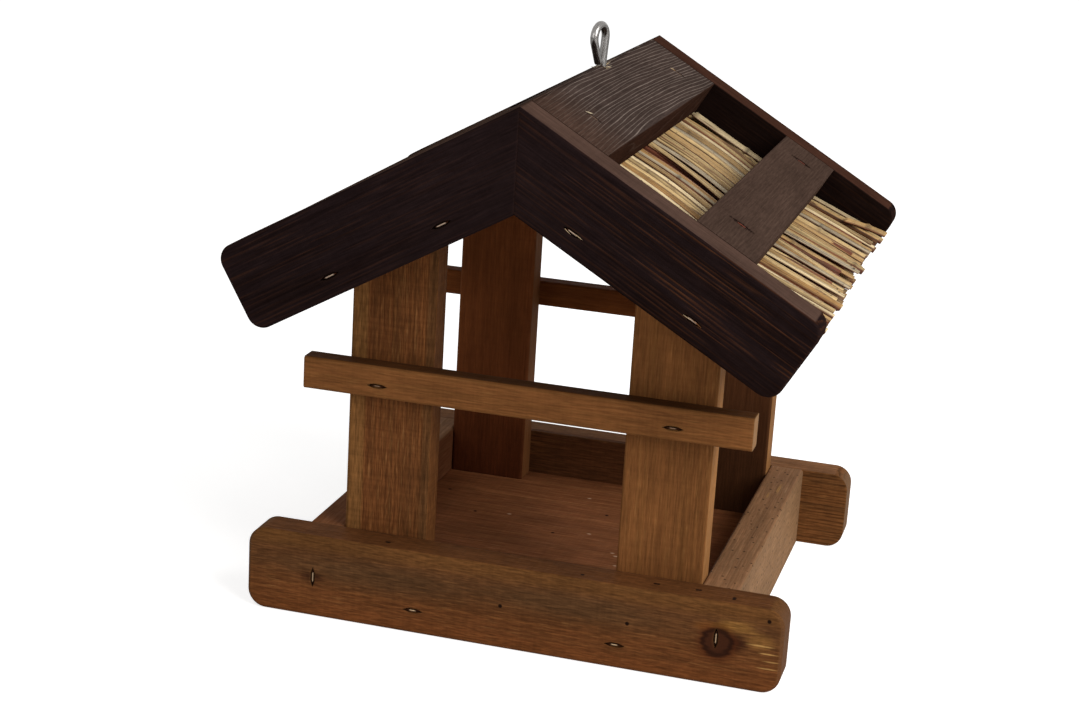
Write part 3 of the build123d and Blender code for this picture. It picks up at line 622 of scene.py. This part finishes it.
def lay_stalk(skin, side, draw, kind, route, width, height, tone, sides, flare=1.0):
    """Adds one stalk along its route of (run, depth, height) points, with a joint, brown smears and a cut end."""
    outline = stalk_section(kind, draw, sides)
    start, end = route[0][0], route[-1][0]
    joint = draw.uniform(start, end + JOINT_PAST_END)
    route = with_joint(route, joint)
    strand = draw.uniform(0, 900)
    tone_along = [draw.uniform(*SMEAR_SHADES) for _ in route]
    taper = draw.uniform(0.7, 1.0) * flare
    rings, tones, lay = [], [], []

    def cut(run, y, up, scale, ring_tone):
        near = max(0, 1 - abs(run - joint) / JOINT_HALF)
        scar = max(0, 1 - (run - joint) / SCAR) if run > joint else 0
        wide = width / 2 * scale * (1 + JOINT_WIDER * near) * (1 - (1 - taper) * (end - run) / (end - start))
        tall = height / 2 * scale * (1 + JOINT_TALLER * near)
        rings.append([on_slope(side, run, up + v * tall, y + u * wide) for u, v in outline])
        ring_tone = shaded(ring_tone, 1 - JOINT_DARK * near - SCAR_DARK * scar)
        tones.append([with_dust_and_shade(ring_tone, abs(u), v) for u, v in outline])
        lay.extend((run, s / sides * 3 * width, strand) for s in range(len(outline)))

    for (run, y, up), share in zip(route, tone_along):
        cut(run, y, up, 1, shaded(tone, share))
    run, y, up = route[-1]
    cut(run, y, up, RIM, shaded(tone, RIM_SHADE))
    cut(run - HOLLOW_DEEP, y, up, HOLLOW, shaded(tone, HOLLOW_SHADE))
    loft(skin, rings, tones, lay)


def pressed_route(draw, start, end, y, up, steps):
    """The route of a stalk that the slats press down: nearly straight, with its own slant and slight bends."""
    bend, slant, phase = draw.uniform(-0.7, 0.7), draw.gauss(0, 0.038), draw.uniform(0, 2 * pi)
    share, pressed = draw.uniform(0.75, 1.15), draw.uniform(-0.3, 0.3)
    route = []
    runs = [start + (end - start) * step / steps for step in range(steps + 1)]
    for run in sorted(runs + [MID_SLAT_END - RISE_LENGTH, MID_SLAT_END - 0.2]):
        middle = y + bend * sin(run / BEND_LENGTH + phase) + slant * (run - (RIDGE_SLAT_END + EAVE) / 2)
        middle = min(max(middle, SIDE_ROOM - BAY_HALF), BAY_HALF - SIDE_ROOM)
        route.append((run, middle, up + pressed + reed_lift(run) * share))
    return route


# Layers of reed, from the lowest: height of the stalks' middle, start and end of their run, their colours with the
# share of each, the sides of a stalk and the steps along it
REED_LAYERS = (
    (-26.0, 125, EAVE, EAVE_STRAW, (1, 1, 1), 8, 8),
    (-23.4, 22, EAVE - 9, UNDER_STRAW, (1, 1, 1), 8, 20),
    (-22.1, THATCH_TOP, EAVE, STRAW, STRAW_SHARE, 14, 40),
)
REED_GAPS, REED_GAP_SHARE = ((1.4, 2.8), (0.3, 1.0), (-0.9, 0.0)), (11, 25, 64)  # below 0, two stalks overlap
STALK_KINDS = (("round", 50), ("split", 36), ("thin", 14))
STALK_WIDTHS = {"round": (4.0, 6.6), "split": (5.5, 9.5), "thin": (1.7, 2.7)}


def thatch(side, seed):
    """One slope's reed on its bed, with the random draws that laid it, for the loose stalks to go on with."""
    draw = random.Random(seed)
    skin = new_skin()
    bed = []
    for run in BED_RUNS:
        top = SLAT_UNDER - BED_DROP + BED_RISE * reed_lift(run)
        corners = ((-1, BOARD_TOP), (1, BOARD_TOP), (1, top), (-1, top))
        bed.append([on_slope(side, run, up, end * (BAY_HALF - BED_GAP)) for end, up in corners])
    loft(skin, bed, [[BED_TONE] * len(corners)] * len(bed))
    for up, start, end, colours, shares, sides, steps in REED_LAYERS:
        y = SIDE_GAP - BAY_HALF
        while True:
            kind = draw.choices([k for k, _ in STALK_KINDS], [share for _, share in STALK_KINDS])[0]
            width = draw.uniform(*STALK_WIDTHS[kind])
            if y + width > BAY_HALF - SIDE_GAP:
                break
            height = {"round": min(width * 0.85, STALK_DEEP), "split": draw.uniform(1.8, 2.8), "thin": width}[kind]
            tone = shaded(draw.choices(colours, shares)[0], draw.uniform(*STALK_SHADES))
            level = up + (STALK_DEEP - height) / 2 + draw.uniform(-0.5, 0.1)
            route = pressed_route(draw, start, end + draw.uniform(*RAGGED_EAVE), y + width / 2, level, steps)
            lay_stalk(skin, side, draw, kind, route, width, height, tone, sides)
            y += width + draw.uniform(*draw.choices(REED_GAPS, REED_GAP_SHARE)[0])
    return draw, skin


def leaning_route(first, last, sag, steps):
    """A route straight from one (run, depth, height) point to another, bowed by its sag."""
    route = []
    for step in range(steps + 1):
        t = step / steps
        run, y, up = (a + (b - a) * t for a, b in zip(first, last))
        route.append((run, y, up - sag * sin(pi * t)))
    return route


for name, side, seed in (("left_thatch", LEFT, 4), ("right_thatch", RIGHT, 11)):
    draw, skin = thatch(side, seed)
    # Loose ones: a flattened stalk at the far end, a curled sheath at the eave and a thin pale one by the near gable
    loose = leaning_route((48, 114, -18.4), (101, 122.5, -19.9), 0.2, 14)
    lay_stalk(skin, side, draw, "split", loose, 11.0, 2.8, STRAW[2], 14, flare=1.7)
    sheath = leaning_route((156, 108, -15.8), (EAVE + 1, 124, -12.6), -0.6, 14)
    lay_stalk(skin, side, draw, "split", sheath, 9.0, 4.0, STRAW[1], 14)
    pale = leaning_route((44, -127.6, -19.3), (101, -127.0, -19.3), -0.8, 14)
    lay_stalk(skin, side, draw, "round", pale, 2.8, 2.4, STRAW[2], 12)
    new_piece(name, skin, reed, "house", "reed", name, f"{name}_bed")


# Staples: round wire, with the legs in the wood and the crown lying in its dent

WIRE = 1.1
CROWN = 9.0
CROWN_DEPTH = 0.75  # from the wood's face to the middle of the crown's wire
CROWN_BOW = 0.12
SHOULDER, SHOULDER_STEPS = 1.1, 6  # radius of the bend between crown and leg, and steps round it
LEG, SLAT_LEG, PERCH_LEG = 40, 32, 25
# Colours of the painted glint along a crown; WIRE_DARK is the rest of the wire, stained and in painted shade
WIRE_BRIGHT, PALE_GLINT_TONE, WIRE_DULL = linear("#d2b592"), linear("#b8a08b"), linear("#8a6e58")
WIRE_DARK = linear("#2c170d")
SHORT_GLINT, GLINT, LONG_GLINT = 1.3, 2.1, 2.6  # half lengths of a crown's painted glint, the bright line along its outward side
GLINT_NARROWS = 8  # the higher, the narrower the bright line along a crown
RUST = linear("#9a4022")
WIRE_SIDES = 10


def wire_ring(middle, ahead, aside, radius, sides):
    """A ring of points round a wire, square to its way ahead; aside is any direction square to that."""
    third = ahead.cross(aside).normalized()
    turns = [2 * pi * s / sides for s in range(sides)]
    return [middle + (aside * cos(t) + third * sin(t)) * radius * MM for t in turns]


def staple(skin, middle, crown, out, leg, shine, bright):
    """Adds one staple, its crown centred under a point (mm) of the wood's face, with a painted glint up to a half
    length.
    """
    half = CROWN / 2 - WIRE / 2
    one_leg = [(-half, -leg), (-half, -leg / 2)]
    for step in range(SHOULDER_STEPS + 1):
        angle = pi / 2 * step / SHOULDER_STEPS
        one_leg.append((-half + SHOULDER * (1 - cos(angle)), SHOULDER * (sin(angle) - 1)))
    path = one_leg + [(u, CROWN_BOW * cos(pi * u / CROWN)) for u in (-2, -1, 0, 1, 2)]
    path += [(-u, w) for u, w in reversed(one_leg)]
    aside = crown.cross(out).normalized()
    rings, tones = [], []
    for n, (u, w) in enumerate(path):
        before, after = path[max(n - 1, 0)], path[min(n + 1, len(path) - 1)]
        ahead = (crown * (after[0] - before[0]) + out * (after[1] - before[1])).normalized()
        rings.append(wire_ring((middle + crown * u + out * (w - CROWN_DEPTH)) * MM, ahead, aside, WIRE / 2, WIRE_SIDES))
        # painted glint: the crown's outward side bright, the rest dark
        outward = [max(0, -sin(2 * pi * s / WIRE_SIDES)) for s in range(WIRE_SIDES)]
        rubbed_and_glint = [share ** GLINT_NARROWS if abs(u) < bright else 0 for share in outward]
        tones.append([[dark + (light - dark) * share for dark, light in zip(WIRE_DARK, shine)] for share in rubbed_and_glint])
    loft(skin, rings, tones)


def slope_mm(side, run, up, y):
    return on_slope(side, run, up, y) / MM


RAIL_FACE, PERCH_FACE, GABLE_FACE, FLOOR_UNDER = 122.0, 114.0, 150.0, 7.0
RAIL_END_STAPLES = ((-108.5, 22.5), (111.5, 26.0))  # along the rail and up it
RAIL_FLOOR_STAPLES = ((-51.5, 13.0), (59.0, 13.0))
PERCH_STAPLE, PERCH_LEVELS = 79, {FRONT: 131.5, BACK: 133.5}
POST_FOOT = (75.5, 93.5)
staple_groups = {group: new_skin() for group in ("rail", "perch", "gable", "slat", "post_foot")}
for end in (FRONT, BACK):
    out = Y * end
    for places, crown, bright in ((RAIL_END_STAPLES, Z, LONG_GLINT), (RAIL_FLOOR_STAPLES, X, SHORT_GLINT)):
        for x, z in places:
            staple(staple_groups["rail"], Vector((x, RAIL_FACE * end, z)), crown, out, LEG, WIRE_BRIGHT, bright)
    for side in (LEFT, RIGHT):
        seat = Vector((PERCH_STAPLE * side, PERCH_FACE * end, PERCH_LEVELS[end]))
        staple(staple_groups["perch"], seat, X, out, PERCH_LEG, WIRE_DULL, SHORT_GLINT)
        for run in GABLE_STAPLE_RUNS[side]:
            seat = slope_mm(side, run, GABLE_STAPLE, GABLE_FACE * end)
            staple(staple_groups["gable"], seat, down_slope(side), out, LEG, PALE_GLINT_TONE, GLINT)
for side in (LEFT, RIGHT):
    for places, tone in ((RIDGE_STAPLES, WIRE_DULL), (MID_STAPLES, RUST)):
        for run, y in places:
            staple(staple_groups["slat"], slope_mm(side, run, 0, y), down_slope(side), out_of_roof(side), SLAT_LEG,
                   tone, LONG_GLINT)
    for end in (FRONT, BACK):
        seat = Vector((POST_FOOT[0] * side, POST_FOOT[1] * end, FLOOR_UNDER))
        staple(staple_groups["post_foot"], seat, X, -Z, LEG, WIRE_BRIGHT, LONG_GLINT)
for group, skin in staple_groups.items():
    new_piece(f"{group}_staple_wires", skin, staple_wire, "house", "staple_wire", f"{group}_staples")


# Screw eye: one bent wire. Its path lies in an upright plane, turned as the CAD eye is at rest.

EYE_TURN = radians(77)
EYE_BACK = 8.5  # behind the middle of the ridge
EYE_WIRE = 4.5
EYE_HEIGHT = 24.0
EYE_SIDES = 24
LOOP_RADIUS, LOOP_OFFSET = 6.6, 4.8
STEM_LEAN, TAIL_LEAN = radians(7.5), radians(28.5)
STEM_BEND = 6.0
STEM_STEPS, LOOP_STEPS = 3, 36
TAIL_GAP = 0.6
SHANK, POINT = 38.0, 6.0


def eye_path():
    """Points of the wire's middle, across and up in the eye's plane, with the wire's thickness there as a share."""
    middle = EYE_HEIGHT - EYE_WIRE / 2 - LOOP_RADIUS
    stem_across = LOOP_RADIUS * cos(STEM_LEAN) - LOOP_OFFSET
    stem_top = middle - LOOP_RADIUS * sin(STEM_LEAN)
    bend_start = stem_top - stem_across / tan(STEM_LEAN) - STEM_BEND * tan(STEM_LEAN / 2)
    path = [(0, -SHANK - POINT, 0.1), (0, -SHANK, 1), (0, -SHANK / 2, 1), (0, -4, 1)]
    for step in range(STEM_STEPS + 1):
        lean = STEM_LEAN * step / STEM_STEPS
        path.append((STEM_BEND * (1 - cos(lean)), bend_start + STEM_BEND * sin(lean), 1))
    for step in range(LOOP_STEPS + 1):
        angle = -STEM_LEAN + (pi + STEM_LEAN + TAIL_LEAN) * step / LOOP_STEPS
        path.append((LOOP_RADIUS * cos(angle) - LOOP_OFFSET, middle + LOOP_RADIUS * sin(angle), 1))
    across, up, _ = path[-1]
    foot = -EYE_WIRE - TAIL_GAP
    for share, thick in ((0.5, 1), (1.0, 1), (1.05, 0.95), (1.07, 0.8)):
        path.append((across + (foot - across) * share, up - (foot - across) * share / tan(TAIL_LEAN), thick))
    return path


eye_skin = new_skin()
eye_across = Vector((cos(EYE_TURN), sin(EYE_TURN), 0))
eye_through = eye_across.cross(Z)
path = eye_path()
rings = []
for n, (u, w, thick) in enumerate(path):
    before, after = path[max(n - 1, 0)], path[min(n + 1, len(path) - 1)]
    ahead = (eye_across * (after[0] - before[0]) + Z * (after[1] - before[1])).normalized()
    middle = (Y * EYE_BACK + eye_across * u + Z * (RIDGE_HEIGHT + w)) * MM
    rings.append(wire_ring(middle, ahead, eye_through, EYE_WIRE / 2 * thick, EYE_SIDES))
loft(eye_skin, rings, [[WIRE_BRIGHT] * EYE_SIDES] * len(rings))
new_piece("screw_eye_wire", eye_skin, eye_steel, "eye", "eye_steel", "screw_eye")


# Torn fibres: at the right gable boards' staples, at the right ridge slat's and round the eye's foot

SPLIT_REACH = 5.9  # from a staple's middle to the end of the split that it made
FOOT_SPLINTERS, FOOT_RADIUS = 18, 2.6
TORN = [linear(c) for c in ("#c4a985", "#a98255", "#cdbb9c", "#8a5a34")]
# PALE_TORN is for the splinters round the eye's foot: pale fibre, painted paler still as painted light against the
# shade they lie in
PALE_TORN = [linear(c) for c in ("#d8c8ae", "#c9b08a", "#e0d4c0")]


def splinter(skin, root, ahead, out, length, width, lift, tone):
    """Adds a splinter that is rooted in a face at a point (mm) and peels off towards its tip."""
    aside = ahead.cross(out).normalized()
    shape = ((-0.5, 0), (0.5, 0), (0.25, 0.32), (-0.25, 0.32))
    rings = []
    for t, wide in ((0, 0.7), (0.3, 1.0), (0.65, 0.8), (1, 0.12)):
        middle = root + ahead * (length * t) + out * (lift * t * t - 0.12)
        rings.append([(middle + (aside * u + out * v) * width * wide) * MM for u, v in shape])
    loft(skin, rings, [[shaded(tone, share)] * len(shape) for share in (0.8, 1, 1, 0.6)])


torn = new_skin()
draw = random.Random(31)
for end in (FRONT, BACK):
    for run in GABLE_STAPLE_RUNS[RIGHT]:
        for tip in (-SPLIT_REACH, SPLIT_REACH):
            seat = slope_mm(RIGHT, run + tip, GABLE_STAPLE + draw.uniform(-0.3, 0.3), GABLE_FACE * end)
            ahead = (down_slope(RIGHT) * -tip + out_of_roof(RIGHT) * draw.uniform(-1.2, 1.2)).normalized()
            splinter(torn, seat, ahead, Y * end, draw.uniform(5, 7), draw.uniform(0.25, 0.35), draw.uniform(0.1, 0.5),
                     draw.choice(TORN))
for run, y in RIDGE_STAPLES:
    for _ in range(3):
        seat = slope_mm(RIGHT, run + draw.uniform(-SPLIT_REACH, -4.5), 0, y + draw.uniform(-1.6, 1.6))
        splinter(torn, seat, (down_slope(RIGHT) + Y * draw.uniform(-0.5, 0.5)).normalized(), out_of_roof(RIGHT),
                 draw.uniform(2, 3.5), 0.6, 0.6, draw.choice(TORN))
for n in range(FOOT_SPLINTERS):
    angle = 2 * pi * n / FOOT_SPLINTERS + draw.uniform(-0.2, 0.2)
    side = RIGHT if cos(angle) > 0 else LEFT
    seat = slope_mm(side, abs(cos(angle)) * FOOT_RADIUS, 0, EYE_BACK + sin(angle) * FOOT_RADIUS)
    away = (down_slope(side) * abs(cos(angle)) + Y * sin(angle)).normalized()
    splinter(torn, seat, away, out_of_roof(side), draw.uniform(2, 5), draw.uniform(0.4, 0.7), draw.uniform(0.4, 2.4),
             draw.choice(PALE_TORN))
new_piece("torn_fibres", torn, torn_pine, "house", "dark_stained_pine")


# Stage: a floor in matt white paint, rolled on, that the camera sees as white wherever no shadow falls
FLOOR_HALF = 8.0  # metres, as the lamps' places are
FLOOR_GAP = 0.2  # under the rails
FLOOR_GLOW = 0.66  # what the camera sees on top of the lamplight
AMBIENT = 0.32  # how strongly the white room lights the object
HOUSE_MIDDLE = Vector((0, 0, 0.15))
floor_mesh = bpy.data.meshes.new("floor")
corners = [(-FLOOR_HALF, -FLOOR_HALF), (FLOOR_HALF, -FLOOR_HALF), (FLOOR_HALF, FLOOR_HALF), (-FLOOR_HALF, FLOOR_HALF)]
floor_mesh.from_pydata([(x, y, -FLOOR_GAP * MM) for x, y in corners], [], [(0, 1, 2, 3)])
floor = bpy.data.objects.new("floor", floor_mesh)
bpy.context.scene.collection.objects.link(floor)
matt_paint, tree, shader = new_material("matt_white_paint")
ray = add(tree, "LightPath", {}, {})
lift = add(tree, "Math", {"operation": "MULTIPLY"}, {0: ray.outputs["Is Camera Ray"], 1: FLOOR_GLOW})
feed(tree, shader, {
    "Base Color": linear("#f2f1ef"), "Roughness": 0.9, "Emission Color": linear("#ffffff"), "Emission Strength": lift})
floor_mesh.materials.append(matt_paint)

world = bpy.data.worlds.new("studio")
bpy.context.scene.world = world
world.use_nodes = True
tree = world.node_tree
ray = add(tree, "LightPath", {}, {})
seen = add(tree, "Math", {"operation": "MAXIMUM"}, {0: ray.outputs["Is Camera Ray"], 1: ray.outputs["Is Glossy Ray"]})
seen = add(tree, "Math", {"operation": "MAXIMUM"}, {0: seen, 1: ray.outputs["Is Transmission Ray"]})
strength = add(tree, "MapRange", {}, {"Value": seen, "To Min": AMBIENT, "To Max": 1.0})
feed(tree, tree.nodes["Background"], {"Color": linear("#ffffff"), "Strength": strength})


def soft_box(name, place, size, watts):
    """A square lamp that faces the middle of the house."""
    lamp = bpy.data.lights.new(name, "AREA")
    lamp.size = size
    lamp.energy = watts
    box = bpy.data.objects.new(name, lamp)
    box.location = place
    box.rotation_euler = (Vector(place) - HOUSE_MIDDLE).to_track_quat("Z", "Y").to_euler()
    bpy.context.scene.collection.objects.link(box)


soft_box("key", place=(1.75, -0.8, 1.3), size=1.7, watts=50)
soft_box("fill", place=(-0.6, -1.8, 0.9), size=1.2, watts=7)

# Camera, at the pose solved from the laths' corners in the photograph
VIEW_AZIMUTH, VIEW_ELEVATION, VIEW_ROLL = radians(14.989), radians(16.335), radians(3.489)
LENS, SENSOR = 70.65, 36
VIEW_AIM = Vector((0, 0, 146.0))
AIM_IN_VIEW = Vector((23.01, 18.89, 1186.56))  # right of the view's middle, above it and away from the camera
backwards = Vector((
    sin(VIEW_AZIMUTH) * cos(VIEW_ELEVATION), -cos(VIEW_AZIMUTH) * cos(VIEW_ELEVATION), sin(VIEW_ELEVATION)))
level = Vector((cos(VIEW_AZIMUTH), sin(VIEW_AZIMUTH), 0))
upright = backwards.cross(level)
right = cos(VIEW_ROLL) * level + sin(VIEW_ROLL) * upright
up = cos(VIEW_ROLL) * upright - sin(VIEW_ROLL) * level
camera = bpy.data.objects.new("camera", bpy.data.cameras.new("camera"))
camera.data.lens = LENS
camera.data.sensor_width = SENSOR
eye_point = VIEW_AIM - right * AIM_IN_VIEW.x - up * AIM_IN_VIEW.y + backwards * AIM_IN_VIEW.z
camera.matrix_world = Matrix.Translation(eye_point * MM) @ Matrix((right, up, backwards)).transposed().to_4x4()
bpy.context.scene.collection.objects.link(camera)
bpy.context.scene.camera = camera
bpy.context.scene.view_settings.view_transform = "Standard"
